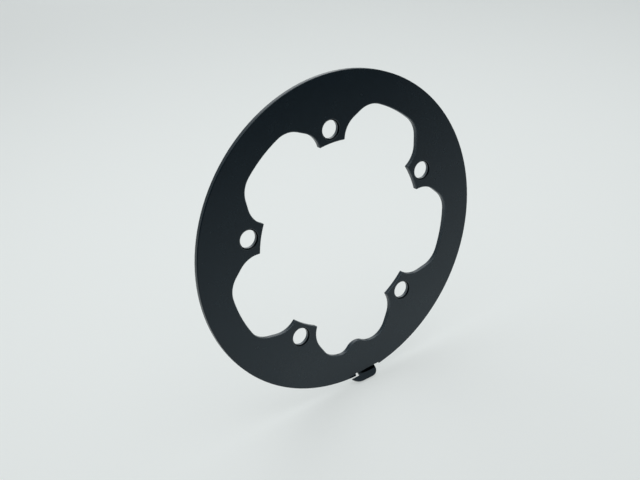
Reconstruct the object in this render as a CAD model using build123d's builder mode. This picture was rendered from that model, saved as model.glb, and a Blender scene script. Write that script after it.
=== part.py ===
from build123d import *
from math import acos, degrees
import os

# Bicycle chain guard: a flat sheet ring that is bolted outside a chainring with five chainring bolts.
# Five lobes lighten it and leave five lugs at the bolts, a rounded nose at the foot locates it at the crank,
# and one tab at the rim is folded outwards. The bolt holes are countersunk on the outer face.
# Millimetres, +Z up, outer face towards -Y. The origin is the bolt circle's centre on the seating face.

os.makedirs("parts", exist_ok=True)

# Sheet
SHEET_T = 3.0
OUTER_D = 193.6
EDGE_BREAK = 0.3

# Bolts
BOLT_COUNT = 5
BOLT_CIRCLE_D = 130.0
BOLT_HOLE_D = 10.6
BOLT_SINK_D = 12.2
LUG_EDGE = 2.6

# Opening: a round register at the lugs, and a lobe between each two lugs
RIM_W = 18.7
LOBE_CORNER_R = 14.8
LOBE_CORNER_TURN = 52.0
FLANK_LEN = 5.5
LUG_ROOT_R = 14.7
LUG_ROOT_TURN = 64.0
LUG_TIP_R = 0.5

# Locating nose on the lobe at the foot, with a short foot on one side and a long one on the other
NOSE_R = 8.4
NOSE_HEIGHT = 5.4
NOSE_FOOT_R = 7.0
NOSE_FOOT_GAP = 0.95
LONG_FOOT_TURN = 42.0

# Notch in the rim, and the tab that is folded out of it
NOTCH_W = 18.5
NOTCH_DEPTH = 2.3
NOTCH_X = 5.75
FOLD_R = 0.8
FOLD_TURN = 45.0
NECK_W = 12.3
NECK_X = 4.75
TAB_REACH = 5.4
TAB_CORNER_R = 4.3
TAB_EDGE_R = 1.7
EAR_W = 6.8
EAR_CORNER_R = 7.8
EAR_GAP = 1.5

OUTER_R = OUTER_D / 2
REGISTER_R = (BOLT_CIRCLE_D - BOLT_HOLE_D) / 2 - LUG_EDGE
LOBE_R = OUTER_R - RIM_W
FOOT_ANGLE = -90
FRONT_Y = -SHEET_T
CHORD_Z = NOTCH_DEPTH - OUTER_R
FOLD_CENTRE_Y = FRONT_Y - FOLD_R

# A lobe's end arc is as wide as the nose with its two feet: the angle between the nose and a foot,
# seen from the ring's centre, by the law of cosines, and a gap up to the lobe's corner
NOSE_CENTRE_R = LOBE_R - NOSE_HEIGHT + NOSE_R
FOOT_CENTRE_R = LOBE_R - NOSE_FOOT_R
NOSE_TO_FOOT = NOSE_R + NOSE_FOOT_R
FOOT_COS = (NOSE_CENTRE_R**2 + FOOT_CENTRE_R**2 - NOSE_TO_FOOT**2) / (2 * NOSE_CENTRE_R * FOOT_CENTRE_R)
LOBE_HALF_ANGLE = degrees(acos(FOOT_COS) + NOSE_FOOT_GAP / LOBE_R)

# The long foot's arc touches the nose from outside, and the lobe's corner from inside at LONG_FOOT_TURN
# round that corner
NOSE_CENTRE = Vector(0, -NOSE_CENTRE_R)
CORNER_CENTRE = Vector(LOBE_R - LOBE_CORNER_R, 0).rotate(Axis.Z, FOOT_ANGLE + LOBE_HALF_ANGLE)
FOOT_END_DIR = Vector(1, 0).rotate(Axis.Z, FOOT_ANGLE + LOBE_HALF_ANGLE + LONG_FOOT_TURN)
NOSE_TO_CORNER = CORNER_CENTRE - NOSE_CENTRE
CORNER_AND_NOSE_R = LOBE_CORNER_R + NOSE_R
FOOT_DIVISOR = 2 * (NOSE_TO_CORNER.dot(FOOT_END_DIR) + CORNER_AND_NOSE_R)
FOOT_SHIFT = (CORNER_AND_NOSE_R**2 - NOSE_TO_CORNER.length**2) / FOOT_DIVISOR
LONG_FOOT_R = LOBE_CORNER_R - FOOT_SHIFT
LONG_FOOT_CENTRE = CORNER_CENTRE + FOOT_END_DIR * FOOT_SHIFT
LONG_FOOT_START = NOSE_CENTRE + (LONG_FOOT_CENTRE - NOSE_CENTRE).normalized() * NOSE_R
LONG_FOOT_END = CORNER_CENTRE + FOOT_END_DIR * LOBE_CORNER_R

# One lobe of the opening, along +X: its outer arc, corner, straight flank and lug root, mirrored
with BuildSketch() as lobe:
    with BuildLine():
        end_arc = CenterArc((0, 0), LOBE_R, 0, LOBE_HALF_ANGLE)
        corner = JernArc(end_arc @ 1, end_arc % 1, LOBE_CORNER_R, LOBE_CORNER_TURN)
        flank = PolarLine(corner @ 1, FLANK_LEN, direction=corner % 1)
        root = JernArc(flank @ 1, flank % 1, LUG_ROOT_R, LUG_ROOT_TURN)
        Line(root @ 1, (0, 0))
        mirror(about=Plane.XZ)
    make_face()

# Tab, with its origin at the foot of the notch
with BuildPart() as tab:
    # Fold, from the notch outwards
    with BuildSketch(Plane.YZ.offset(NECK_X - NECK_W / 2)):
        with BuildLine():
            inner = CenterArc((FOLD_CENTRE_Y, 0), FOLD_R, -FOLD_TURN, FOLD_TURN)
            outer = CenterArc((FOLD_CENTRE_Y, 0), FOLD_R + SHEET_T, -FOLD_TURN, FOLD_TURN)
            Line(inner @ 0, outer @ 0)
            Line(inner @ 1, outer @ 1)
        make_face()
    extrude(amount=NECK_W)

    # Flat: rounded front corners, trimmed at the fold and at the ear that stands beside the neck
    tab_normal = Vector(0, -1, 0).rotate(Axis.X, -FOLD_TURN)
    tab_origin = Vector(0, FOLD_CENTRE_Y, 0) - tab_normal * FOLD_R
    tab_plane = Plane(tab_origin, x_dir=(1, 0, 0), z_dir=tab_normal)
    with BuildSketch(tab_plane) as flat:
        with Locations((NECK_X + NECK_W / 2, -TAB_REACH)):
            Rectangle(NECK_W + EAR_W, TAB_REACH + EAR_CORNER_R, align=(Align.MAX, Align.MIN))
        fillet(flat.vertices().group_by(Axis.Y)[0].sort_by(Axis.X)[0], EAR_CORNER_R)
        fillet(flat.vertices().group_by(Axis.Y)[0].sort_by(Axis.X)[-1], TAB_CORNER_R)
        with Locations((NECK_X, 0)):
            Rectangle(NECK_W, OUTER_R, align=(Align.CENTER, Align.MIN), mode=Mode.SUBTRACT)
        with Locations((NECK_X - NECK_W / 2, -EAR_GAP)):
            Rectangle(EAR_W, OUTER_R, align=(Align.MAX, Align.MIN), mode=Mode.SUBTRACT)
    extrude(amount=-SHEET_T)

    # Rounded underside
    underside = tab.faces().filter_by(tab_plane).sort_by(Axis.Z)[0].edges()
    fillet(underside.sort_by(Axis.Y)[:-1], TAB_EDGE_R)

with BuildPart() as chain_guard:
    # Round blank with its drilled bolt holes
    with BuildSketch(Plane.XZ):
        Circle(OUTER_R)
        with PolarLocations(BOLT_CIRCLE_D / 2, BOLT_COUNT, start_angle=-FOOT_ANGLE):
            Circle(BOLT_HOLE_D / 2, mode=Mode.SUBTRACT)
    extrude(amount=SHEET_T)

    # Lobed opening, with the nose left standing in the lobe at the foot
    with BuildSketch(Plane.XZ) as opening:
        Circle(REGISTER_R)
        with PolarLocations(0, BOLT_COUNT, start_angle=FOOT_ANGLE):
            add(lobe.sketch)
        lug_tips = opening.vertices().sort_by(lambda tip: tip.center().length)[: 2 * BOLT_COUNT]
        fillet(lug_tips, LUG_TIP_R)
        with Locations(NOSE_CENTRE):
            Circle(NOSE_R, mode=Mode.SUBTRACT)
        with BuildLine():
            RadiusArc(LONG_FOOT_START, LONG_FOOT_END, -LONG_FOOT_R)
            Polyline(LONG_FOOT_END, LONG_FOOT_END.normalized() * NOSE_CENTRE_R, NOSE_CENTRE, LONG_FOOT_START)
        make_face(mode=Mode.SUBTRACT)
        short_foot = opening.vertices().sort_by(Axis.Y)[0]
        fillet(short_foot, NOSE_FOOT_R)
    extrude(amount=SHEET_T, mode=Mode.SUBTRACT)

    # Broken edges all round both faces
    chamfer(chain_guard.faces().filter_by(Axis.Y).edges(), EDGE_BREAK)

    # Countersunk mouth of each bolt hole, on the outer face
    with Locations(Plane.XZ.offset(SHEET_T)):
        with PolarLocations(BOLT_CIRCLE_D / 2, BOLT_COUNT, start_angle=-FOOT_ANGLE):
            CounterSinkHole(BOLT_HOLE_D / 2, BOLT_SINK_D / 2, depth=SHEET_T, counter_sink_angle=90)

    # Notch in the rim that frees the tab
    with BuildSketch(Plane.XZ):
        with Locations((NOTCH_X, CHORD_Z)):
            Rectangle(NOTCH_W, 2 * NOTCH_DEPTH, align=(Align.CENTER, Align.MAX))
    extrude(amount=SHEET_T, mode=Mode.SUBTRACT)

    # Tab, folded out of the notch
    with Locations((0, 0, CHORD_Z)):
        add(tab.part)

chain_guard.part.label = "chain_guard"
export_step(chain_guard.part, "parts/chain_guard.step")
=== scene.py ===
"""Looks of a bicycle chain guard: a flat ring of satin black sheet on a pale studio floor."""

import logging
from dataclasses import dataclass, field
from typing import Any

import bpy
import numpy as np
from mathutils import Matrix, Vector


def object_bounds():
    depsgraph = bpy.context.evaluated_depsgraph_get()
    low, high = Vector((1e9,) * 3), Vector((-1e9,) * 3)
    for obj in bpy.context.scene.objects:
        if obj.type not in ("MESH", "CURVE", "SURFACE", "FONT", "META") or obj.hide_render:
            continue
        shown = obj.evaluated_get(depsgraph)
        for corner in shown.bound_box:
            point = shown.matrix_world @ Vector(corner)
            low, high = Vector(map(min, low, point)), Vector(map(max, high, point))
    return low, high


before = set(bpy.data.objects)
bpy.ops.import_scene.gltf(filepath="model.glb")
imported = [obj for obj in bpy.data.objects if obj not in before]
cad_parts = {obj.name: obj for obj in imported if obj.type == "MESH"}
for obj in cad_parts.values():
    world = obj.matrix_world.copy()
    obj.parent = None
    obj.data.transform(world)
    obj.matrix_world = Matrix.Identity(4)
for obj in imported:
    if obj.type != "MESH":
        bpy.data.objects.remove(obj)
CAD_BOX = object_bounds()

LOG = logging.getLogger("chain_guard")

# Short names for the type hints
Tree = bpy.types.NodeTree
Socket = bpy.types.NodeSocket

MM = 0.001
FLOOR_Z = CAD_BOX[0].z
# Direction across the sheet, along the bolts
SHEET_NORMAL = (0.0, 1.0, 0.0)
# Colour sockets of the Mix node, by their place in it
MIX_A, MIX_B, MIX_RESULT = 6, 7, 2
# Level of the shader's gloss that leaves the IOR's own reflection as it is
FULL_SHEEN = 0.5


def linear(hex_colour: str) -> tuple[float, float, float, float]:
    """Turn an sRGB hex colour to linear light.

    The sRGB curve is a straight line for the darkest tones, and a shifted power of 2.4 above them.

    Args:
        hex_colour: Six hex digits, such as "1a1d20".

    Returns:
        Linear red, green and blue, and an alpha of 1.
    """
    srgb = np.array([int(hex_colour[i : i + 2], 16) for i in (0, 2, 4)]) / 255
    rgb = np.where(srgb <= 0.04045, srgb / 12.92, ((srgb + 0.055) / 1.055) ** 2.4)
    return (*(float(c) for c in rgb), 1.0)


def add_node(
    tree: Tree,
    kind: str,
    settings: dict[str, Any] | None = None,
    values: dict[str | int, Any] | None = None,
    links: dict[str | int, Socket] | None = None,
) -> bpy.types.Node:
    """Add one shader node with its settings, socket values and links.

    Args:
        tree: The material's node tree.
        kind: The node's type name, without the "ShaderNode" in front.
        settings: Attributes of the node itself.
        values: Values of input sockets, by socket name or place.
        links: Output sockets of other nodes, by the name or place of the input they feed.

    Returns:
        The new node.
    """
    node = tree.nodes.new("ShaderNode" + kind)
    for name, value in (settings or {}).items():
        setattr(node, name, value)
    for name, value in (values or {}).items():
        node.inputs[name].default_value = value
    for name, socket in (links or {}).items():
        tree.links.new(socket, node.inputs[name])
    return node


def new_material(name: str) -> tuple[bpy.types.Material, Tree]:
    """Make an empty node material.

    Args:
        name: The material's name.

    Returns:
        The material and its node tree, with nothing in it.
    """
    material = bpy.data.materials.new(name)
    material.use_nodes = True
    material.node_tree.nodes.clear()
    return material, material.node_tree


def grid_object(name: str, points: np.ndarray) -> bpy.types.Object:
    """Make a mesh object from a grid of points, with a quad between each four neighbours.

    Args:
        name: The object's name.
        points: Array of rows x columns x 3, in metres.

    Returns:
        The new object, linked to the scene, smooth shaded.
    """
    rows, columns = points.shape[:2]
    index = np.arange(rows * columns).reshape(rows, columns)
    corners = [index[:-1, :-1], index[:-1, 1:], index[1:, 1:], index[1:, :-1]]
    quads = np.stack(corners, axis=-1)
    mesh = bpy.data.meshes.new(name)
    mesh.from_pydata(points.reshape(-1, 3).tolist(), [], quads.reshape(-1, 4).tolist())
    mesh.shade_smooth()
    thing = bpy.data.objects.new(name, mesh)
    bpy.context.scene.collection.objects.link(thing)
    return thing


@dataclass(frozen=True)
class PaintedShadeSpot:
    """A place where black shade is painted: a ball that is stretched along each axis."""

    centre_mm: tuple[float, float, float]
    radius_mm: float
    stretch: tuple[float, float, float] = (1.0, 1.0, 1.0)

    def gap(self, tree: Tree, place: Socket) -> Socket:
        """Measure how far a point lies outside the spot.

        The gap is the distance from the centre, each axis divided by its stretch, less the radius.

        Args:
            tree: The material's node tree.
            place: The point, in metres.

        Returns:
            The gap in metres, below 0 inside the spot.
        """
        from_centre = add_node(
            tree,
            "Mapping",
            {"vector_type": "TEXTURE"},
            values={"Location": Vector(self.centre_mm) * MM, "Scale": self.stretch},
            links={"Vector": place},
        ).outputs["Vector"]
        distance = add_node(
            tree, "VectorMath", {"operation": "LENGTH"}, links={0: from_centre}
        ).outputs["Value"]
        return add_node(
            tree,
            "Math",
            {"operation": "SUBTRACT"},
            values={1: self.radius_mm * MM},
            links={0: distance},
        ).outputs["Value"]


def countersinks(
    count: int, circle_mm: float, front_mm: float, radius_mm: float
) -> tuple[PaintedShadeSpot, ...]:
    """Place a ball of painted shade in front of each bolt hole, reaching the countersink's deep
    end.

    The painted shade is full at that end and fades out towards the mouth. The face around the hole
    and the hole's own wall lie too far from the ball to be shaded.

    Args:
        count: Number of holes, the first of them at the top.
        circle_mm: Diameter of the bolt circle.
        front_mm: How far the balls' centres lie in front of the seating face.
        radius_mm: Radius of the balls.

    Returns:
        A painted shade spot for each countersink.
    """
    turn = np.pi / 2 + 2 * np.pi / count * np.arange(count)
    across, up = circle_mm / 2 * np.cos(turn), circle_mm / 2 * np.sin(turn)
    centres = zip(across.tolist(), up.tolist())
    return tuple(PaintedShadeSpot((x, -front_mm, z), radius_mm) for x, z in centres)


@dataclass(frozen=True)
class SatinAnodised:
    """Black anodised aluminium, given a bead blast before the bath.

    The dyed oxide film hides the metal, so the eye gets a deep blue-black under the film's own soft
    gloss. A grey highlight is painted on the broken edges and bore walls, and black shade is
    painted in the tab's fold and the countersinks.
    """

    name: str = "satin_black_anodised"
    # Film: its two tones and its gloss drift slowly over the sheet
    film: str = "111f29"
    film_pale: str = "152630"
    gloss_tint: str = "eef9ff"
    ior: float = 1.5
    roughness: float = 0.26
    roughness_swing: float = 0.05
    mottle_mm: float = 9.0
    mottle_detail: float = 4.0
    mottle_roughness: float = 0.55
    # Blasting leaves grit marks of about 0.1 mm. They are drawn coarser, so that they show.
    grit_mm: float = 0.5
    grit_depth_mm: float = 0.012
    grit_detail: float = 2.0
    # Width over which an edge catches the light as if it were rounded
    edge_mm: float = 0.6
    edge_samples: int = 8
    # Painted highlight: the opening's broken edges and the walls of the bolt holes get a greyer
    # colour, standing in for the light they catch
    painted_highlight_grey: str = "656d73"
    # Cosine between the rounded and the true normal, at or below which a point is all edge
    edge_dot: float = 0.93
    # Cosine between the true normal and the sheet's, from which a point is no wall
    wall_dot: float = 0.6
    # How far from a painted shade spot a wall still belongs to a hole
    bore_mm: float = 1.5
    # Radii between which the painted highlight ends, short of the rim
    highlight_to_mm: float = 84.0
    no_highlight_from_mm: float = 90.0
    # Painted shade: the tab's fold and the countersinks are coloured black, with no gloss
    painted_shade_black: str = "040608"
    painted_shade_spots: tuple[PaintedShadeSpot, ...] = (
        PaintedShadeSpot(centre_mm=(6.75, -4.15, -94.85), radius_mm=1.1, stretch=(8.0, 1.0, 1.0)),
        *countersinks(count=5, circle_mm=130.0, front_mm=7.0, radius_mm=7.13),
    )
    # Width over which the painted shade fades out
    painted_shade_fade_mm: float = 0.2

    def mottle(self, tree: Tree, place: Socket) -> Socket:
        """Spread a slow noise over the sheet, by which its colour and gloss drift.

        Args:
            tree: The material's node tree.
            place: The point, in metres.

        Returns:
            The noise, from 0 to 1.
        """
        return add_node(
            tree,
            "TexNoise",
            values={
                "Scale": 1 / (self.mottle_mm * MM),
                "Detail": self.mottle_detail,
                "Roughness": self.mottle_roughness,
            },
            links={"Vector": place},
        ).outputs["Fac"]

    def grain(self, tree: Tree, place: Socket, edge: Socket) -> Socket:
        """Raise the fine grain that the blast leaves.

        Args:
            tree: The material's node tree.
            place: The point, in metres.
            edge: The normal, rounded at the edges.

        Returns:
            The normal with the grain on it.
        """
        grit = add_node(
            tree,
            "TexNoise",
            values={"Scale": 1 / (self.grit_mm * MM), "Detail": self.grit_detail},
            links={"Vector": place},
        ).outputs["Fac"]
        return add_node(
            tree,
            "Bump",
            values={"Distance": self.grit_depth_mm * MM},
            links={"Height": grit, "Normal": edge},
        ).outputs["Normal"]

    def painted_shade_gap(self, tree: Tree, place: Socket) -> Socket:
        """Measure how far a point lies outside the nearest painted shade spot: the least of their
        gaps.

        Args:
            tree: The material's node tree.
            place: The point, in metres.

        Returns:
            The gap in metres, below 0 inside a spot.
        """
        gap, *others = [spot.gap(tree, place) for spot in self.painted_shade_spots]
        for other in others:
            gap = add_node(
                tree, "Math", {"operation": "MINIMUM"}, links={0: gap, 1: other}
            ).outputs["Value"]
        return gap

    def painted_highlight(self, tree: Tree, place: Socket, edge: Socket, gap: Socket) -> Socket:
        """Find where a grey highlight is painted: the opening's broken edges and the bolt holes'
        walls.

        A point is on an edge as far as the rounded normal turns away from the true one. It is on a
        hole's wall as far as the true normal turns away from the sheet's, close to a painted shade
        spot. The larger of the two counts, times a share that falls from 1 to 0 between the two
        radii.

        Args:
            tree: The material's node tree.
            place: The point, in metres.
            edge: The normal, rounded at the edges.
            gap: How far the point lies outside the nearest painted shade spot, in metres.

        Returns:
            The share of painted highlight, from 0 to 1.
        """
        true_normal = add_node(tree, "NewGeometry").outputs["Normal"]
        flatness = add_node(
            tree, "VectorMath", {"operation": "DOT_PRODUCT"}, links={0: edge, 1: true_normal}
        ).outputs["Value"]
        on_edge = add_node(
            tree,
            "MapRange",
            values={"From Min": self.edge_dot, "From Max": 1.0, "To Min": 1.0, "To Max": 0.0},
            links={"Value": flatness},
        ).outputs["Result"]
        across_sheet = add_node(
            tree,
            "VectorMath",
            {"operation": "DOT_PRODUCT"},
            values={1: SHEET_NORMAL},
            links={0: true_normal},
        ).outputs["Value"]
        facing = add_node(
            tree, "Math", {"operation": "ABSOLUTE"}, links={0: across_sheet}
        ).outputs["Value"]
        on_wall = add_node(
            tree,
            "MapRange",
            values={"From Max": self.wall_dot, "To Min": 1.0, "To Max": 0.0},
            links={"Value": facing},
        ).outputs["Result"]
        near_hole = add_node(
            tree, "Math", {"operation": "LESS_THAN"}, values={1: self.bore_mm * MM}, links={0: gap}
        ).outputs["Value"]
        on_bore = add_node(
            tree, "Math", {"operation": "MULTIPLY"}, links={0: on_wall, 1: near_hole}
        ).outputs["Value"]
        # Where the grey highlight is painted: the broken edges and the bore walls
        highlight_place = add_node(
            tree, "Math", {"operation": "MAXIMUM"}, links={0: on_edge, 1: on_bore}
        ).outputs["Value"]
        radius = add_node(
            tree, "VectorMath", {"operation": "LENGTH"}, links={0: place}
        ).outputs["Value"]
        inside = add_node(
            tree,
            "MapRange",
            values={
                "From Min": self.highlight_to_mm * MM,
                "From Max": self.no_highlight_from_mm * MM,
                "To Min": 1.0,
                "To Max": 0.0,
            },
            links={"Value": radius},
        ).outputs["Result"]
        return add_node(
            tree, "Math", {"operation": "MULTIPLY"}, links={0: highlight_place, 1: inside}
        ).outputs["Value"]

    def colour(self, tree: Tree, mottle: Socket, painted_highlight: Socket, gloss_with_painted_shade: Socket) -> Socket:
        """Mix the film's colour: two tones, a painted grey highlight and painted black shade.

        Args:
            tree: The material's node tree.
            mottle: The slow noise, from 0 to 1.
            painted_highlight: The share of painted highlight, from 0 to 1.
            gloss_with_painted_shade: The level of gloss, 0 where shade is painted.

        Returns:
            The colour.
        """
        tone = add_node(
            tree,
            "Mix",
            {"data_type": "RGBA"},
            values={MIX_A: linear(self.film), MIX_B: linear(self.film_pale)},
            links={"Factor": mottle},
        ).outputs[MIX_RESULT]
        # Painted highlight: grey on the broken edges and the bore walls
        highlight_tone = add_node(
            tree,
            "Mix",
            {"data_type": "RGBA"},
            values={MIX_B: linear(self.painted_highlight_grey)},
            links={"Factor": painted_highlight, MIX_A: tone},
        ).outputs[MIX_RESULT]
        # Painted shade: black where the gloss is taken away, in the tab's fold and the countersinks
        unshaded_share = add_node(
            tree, "MapRange", values={"From Max": FULL_SHEEN}, links={"Value": gloss_with_painted_shade}
        ).outputs["Result"]
        return add_node(
            tree,
            "Mix",
            {"data_type": "RGBA"},
            values={MIX_A: linear(self.painted_shade_black)},
            links={"Factor": unshaded_share, MIX_B: highlight_tone},
        ).outputs[MIX_RESULT]

    def material(self) -> bpy.types.Material:
        """Build the node material.

        Returns:
            A material whose colour and gloss drift slowly over the sheet, with a fine grain from
            the blast, a painted grey highlight on the edges, and painted black shade in the tab's
            fold and the countersinks.
        """
        material, tree = new_material(self.name)
        place = add_node(tree, "TexCoord").outputs["Object"]
        edge = add_node(
            tree,
            "Bevel",
            {"samples": self.edge_samples},
            values={"Radius": self.edge_mm * MM},
        ).outputs["Normal"]
        mottle = self.mottle(tree, place)
        roughness = add_node(
            tree,
            "MapRange",
            values={
                "To Min": self.roughness - self.roughness_swing,
                "To Max": self.roughness + self.roughness_swing,
            },
            links={"Value": mottle},
        ).outputs["Result"]
        gap = self.painted_shade_gap(tree, place)
        # Gloss, taken to 0 by the painted shade in the tab's fold and the countersinks
        gloss_with_painted_shade = add_node(
            tree,
            "MapRange",
            {"interpolation_type": "SMOOTHSTEP"},
            values={"From Max": self.painted_shade_fade_mm * MM, "To Max": FULL_SHEEN},
            links={"Value": gap},
        ).outputs["Result"]
        # Share of the painted grey highlight on the edges and bore walls
        painted_highlight = self.painted_highlight(tree, place, edge, gap)
        shader = add_node(
            tree,
            "BsdfPrincipled",
            values={"IOR": self.ior, "Specular Tint": linear(self.gloss_tint)},
            links={
                "Base Color": self.colour(tree, mottle, painted_highlight, gloss_with_painted_shade),
                "Roughness": roughness,
                "Specular IOR Level": gloss_with_painted_shade,
                "Normal": self.grain(tree, place, edge),
            },
        )
        add_node(tree, "OutputMaterial", links={"Surface": shader.outputs["BSDF"]})
        return material


@dataclass(frozen=True)
class LitPaper:
    """Matt seamless paper over a light table: it takes a soft shadow, and glows around the ring."""

    name: str = "seamless_paper"
    paper: str = "acafaf"
    glow: str = "b4b7b6"
    # The glow fades to this share at this radius, in metres, about this place on the floor
    edge_share: float = 0.60
    fade_radius: float = 1.20
    fade_centre: tuple[float, float, float] = (0.05, 0.15, FLOOR_Z)

    def material(self) -> bpy.types.Material:
        """Build the node material.

        Returns:
            A diffuse material, with a fading glow that only the view, reflections and glass see.
        """
        material, tree = new_material(self.name)
        from_centre = add_node(
            tree,
            "Mapping",
            {"vector_type": "TEXTURE"},
            values={"Location": self.fade_centre, "Scale": (self.fade_radius,) * 3},
            links={"Vector": add_node(tree, "TexCoord").outputs["Object"]},
        ).outputs["Vector"]
        nearness = add_node(
            tree, "TexGradient", {"gradient_type": "SPHERICAL"}, links={"Vector": from_centre}
        ).outputs["Fac"]
        fade = add_node(
            tree,
            "MapRange",
            {"interpolation_type": "SMOOTHSTEP"},
            values={"To Min": self.edge_share},
            links={"Value": nearness},
        ).outputs["Result"]
        rays = add_node(tree, "LightPath").outputs
        seen_or_mirrored = add_node(
            tree,
            "Math",
            {"operation": "ADD"},
            links={0: rays["Is Camera Ray"], 1: rays["Is Glossy Ray"]},
        ).outputs["Value"]
        seen = add_node(
            tree,
            "Math",
            {"operation": "ADD", "use_clamp": True},
            links={0: seen_or_mirrored, 1: rays["Is Transmission Ray"]},
        ).outputs["Value"]
        strength = add_node(
            tree, "Math", {"operation": "MULTIPLY"}, links={0: seen, 1: fade}
        ).outputs["Value"]
        matt = add_node(tree, "BsdfDiffuse", values={"Color": linear(self.paper)}).outputs["BSDF"]
        glow = add_node(
            tree,
            "Emission",
            values={"Color": linear(self.glow)},
            links={"Strength": strength},
        ).outputs["Emission"]
        both = add_node(tree, "AddShader", links={0: matt, 1: glow}).outputs["Shader"]
        add_node(tree, "OutputMaterial", links={"Surface": both})
        return material


@dataclass(frozen=True)
class BlackGauze:
    """Dull black gauze, woven denser towards one edge: it dims what lies behind it."""

    name: str = "black_gauze"
    thread: str = "08090a"
    density: str = "weave_density"

    def material(self) -> bpy.types.Material:
        """Build the node material.

        Returns:
            A diffuse material that is as see-through as the mesh's density attribute leaves it.
        """
        material, tree = new_material(self.name)
        density = add_node(tree, "Attribute", {"attribute_name": self.density}).outputs["Fac"]
        thread = add_node(
            tree, "BsdfDiffuse", values={"Color": linear(self.thread)}
        ).outputs["BSDF"]
        gap = add_node(tree, "BsdfTransparent").outputs["BSDF"]
        weave = add_node(tree, "MixShader", links={0: density, 1: gap, 2: thread}).outputs["Shader"]
        add_node(tree, "OutputMaterial", links={"Surface": weave})
        return material


@dataclass
class ChainGuard:
    """The ring itself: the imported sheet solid, with its finish."""

    node: str = "chain_guard"
    slot: str = "black_sheet"
    finish: SatinAnodised = field(default_factory=SatinAnodised)

    def build(self) -> list[bpy.types.Object]:
        """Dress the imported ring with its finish.

        Returns:
            The pieces that show.
        """
        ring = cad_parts[self.node]
        ring.data.materials.clear()
        ring.data.materials.append(self.finish.material())
        return [ring]


@dataclass(frozen=True)
class SoftLamp:
    """A round soft lamp: its place, aim point and width in metres, and its power in watts."""

    name: str
    place: tuple[float, float, float]
    aim: tuple[float, float, float]
    width: float
    watts: float

    def build(self) -> bpy.types.Object:
        """Hang the lamp, turned to its aim point.

        Returns:
            The lamp object.
        """
        light = bpy.data.lights.new(self.name, "AREA")
        light.shape = "DISK"
        light.size = self.width
        light.energy = self.watts
        lamp = bpy.data.objects.new(self.name, light)
        lamp.location = self.place
        beam = Vector(self.aim) - Vector(self.place)
        lamp.rotation_euler = beam.to_track_quat("-Z", "Y").to_euler()
        bpy.context.scene.collection.objects.link(lamp)
        return lamp


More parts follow.
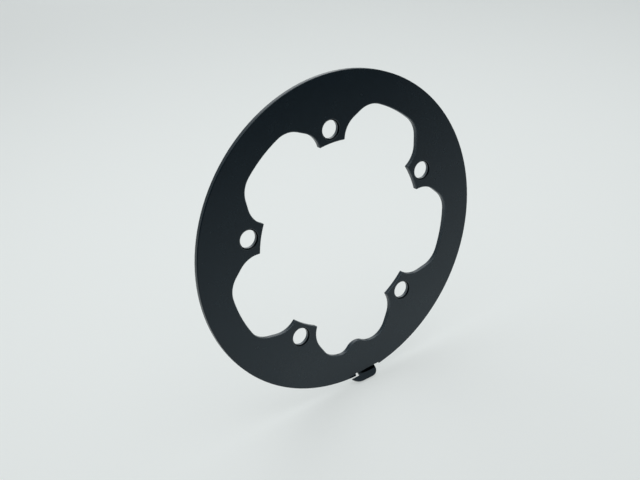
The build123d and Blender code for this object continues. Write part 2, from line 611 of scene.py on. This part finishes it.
@dataclass
class Studio:
    """A round cove of pale paper, soft lamps, and a dark screen in front that only reflections see.

    Lengths are in metres, and angles in degrees about the upright axis, from +X.
    """

    # Cove: the floor's radius, with a small hub in its middle, the bend's radius and the wall's
    # height
    cove_hub: float = 0.001
    cove_floor: float = 2.4
    cove_bend: float = 1.2
    cove_wall: float = 1.0
    cove_floor_points: int = 25
    cove_bend_points: int = 17
    cove_around_points: int = 97
    # Gauze: its reach to the front and to the left, its lift off the floor, its height, the angles
    # it runs between, and its density where it leaves the floor
    gauze_front: float = 0.45
    gauze_left: float = 0.38
    gauze_lift: float = 0.002
    gauze_top: float = 0.50
    gauze_from: float = -178.0
    gauze_to: float = -20.0
    gauze_density: float = 0.78
    gauze_around_points: int = 65
    gauze_floor_steps: int = 8
    gauze_wall_steps: int = 5
    paper: LitPaper = field(default_factory=LitPaper)
    gauze: BlackGauze = field(default_factory=BlackGauze)
    lamps: tuple[SoftLamp, ...] = (
        SoftLamp(
            "lamp_overhead", place=(0.05, 0.15, 1.50), aim=(0.05, 0.15, 0.0), width=2.4, watts=10.0
        ),
        SoftLamp(
            "lamp_back", place=(0.58, 1.40, 0.75), aim=(0.0, 0.0, 0.0), width=1.3, watts=5.0
        ),
    )
    room: str = "f4fafb"
    room_strength: float = 0.55

    def cove(self) -> bpy.types.Object:
        """Turn the cove's profile about the upright axis.

        The profile runs flat from the hub, bends up on a quarter circle and ends in an upright
        wall.

        Returns:
            The floor and backdrop in one object.
        """
        flat = np.linspace(self.cove_hub, self.cove_floor, self.cove_floor_points)[:-1]
        turn = np.linspace(0, np.pi / 2, self.cove_bend_points)
        bend_out = self.cove_floor + self.cove_bend * np.sin(turn)
        bend_up = self.cove_bend * (1 - np.cos(turn))
        out = np.concatenate([flat, bend_out, [self.cove_floor + self.cove_bend]])
        up = np.concatenate([0 * flat, bend_up, [self.cove_bend + self.cove_wall]])
        around = np.linspace(0, 2 * np.pi, self.cove_around_points)[:, None]
        height = FLOOR_Z + up + 0 * around
        points = np.stack([out * np.cos(around), out * np.sin(around), height], axis=-1)
        return grid_object("studio_cove", points)

    def screen(self) -> bpy.types.Object:
        """Spread gauze over the floor in front of the ring, and up behind it as a screen.

        Its points run outwards at each angle about the upright axis: along the floor up to the
        reach, and then straight up. On the left the reach is an ellipse, on the right a straight
        line across the front. The density grows evenly along the floor, and is 1 above. Only
        reflections see the gauze, as they see a dim room in front of a lit table.

        Returns:
            The gauze.
        """
        turn = np.linspace(self.gauze_from, self.gauze_to, self.gauze_around_points)
        angle = np.radians(turn)[:, None]
        across = np.where(angle < -np.pi / 2, np.cos(angle) / self.gauze_left, 0)
        reach = 1 / np.hypot(across, np.sin(angle) / self.gauze_front)
        floor_out = np.linspace(0, 1, self.gauze_floor_steps + 1)[1:]
        wall_up = np.linspace(0, 1, self.gauze_wall_steps + 1)[1:]
        out = np.concatenate([floor_out, np.ones(self.gauze_wall_steps)])
        up = np.concatenate([np.zeros(self.gauze_floor_steps), wall_up])
        density = np.where(up > 0, 1, self.gauze_density * out) + 0 * angle
        height = FLOOR_Z + self.gauze_lift + up * self.gauze_top + 0 * angle
        points = np.stack(
            [reach * np.cos(angle) * out, reach * np.sin(angle) * out, height], axis=-1
        )
        screen = grid_object("studio_screen", points)
        weave = screen.data.attributes.new(self.gauze.density, "FLOAT", "POINT")
        weave.data.foreach_set("value", density.ravel().astype(np.float32))
        screen.visible_camera = False
        screen.visible_diffuse = False
        screen.visible_shadow = False
        screen.visible_transmission = False
        return screen

    def world(self) -> None:
        """Fill the room with a dim, even, cool light."""
        world = bpy.data.worlds.new("studio_room")
        world.use_nodes = True
        sky = world.node_tree.nodes["Background"]
        sky.inputs["Color"].default_value = linear(self.room)
        sky.inputs["Strength"].default_value = self.room_strength
        bpy.context.scene.world = world

    def build(self) -> list[bpy.types.Object]:
        """Build the whole studio.

        Returns:
            The staged objects.
        """
        cove, screen = self.cove(), self.screen()
        cove.data.materials.append(self.paper.material())
        screen.data.materials.append(self.gauze.material())
        for lamp in self.lamps:
            lamp.build()
        self.world()
        return [cove, screen]


@dataclass(frozen=True)
class ViewCamera:
    """The camera that looks at the ring from the left and above, a little rolled."""

    place: tuple[float, float, float] = (-0.302803, -0.459167, 0.259749)
    forward: tuple[float, float, float] = (0.479626, 0.764544, -0.430619)
    up: tuple[float, float, float] = (0.338244, 0.291733, 0.894697)
    lens_mm: float = 58.54
    sensor_mm: float = 36.0

    def build(self) -> bpy.types.Object:
        """Make the scene's camera.

        Returns:
            The camera object.
        """
        data = bpy.data.cameras.new("view_camera")
        data.lens = self.lens_mm
        data.sensor_width = self.sensor_mm
        camera = bpy.data.objects.new("view_camera", data)
        forward, up = Vector(self.forward).normalized(), Vector(self.up)
        right = forward.cross(up).normalized()
        turn = Matrix((right, right.cross(forward), -forward)).transposed()
        camera.matrix_world = Matrix.Translation(self.place) @ turn.to_4x4()
        bpy.context.scene.collection.objects.link(camera)
        bpy.context.scene.camera = camera
        return camera


def main() -> None:
    """Build the ring, the studio and the camera, and report each piece."""
    logging.basicConfig(level=logging.INFO, format="%(name)s: %(message)s")
    bpy.context.scene.view_settings.view_transform = "Standard"
    for piece in ChainGuard().build():
        LOG.info("piece %s: %d faces", piece.name, len(piece.data.polygons))
    for staged in Studio().build():
        LOG.info("stage %s", staged.name)
    LOG.info("camera %s", ViewCamera().build().name)


if __name__ == "__main__":
    main()
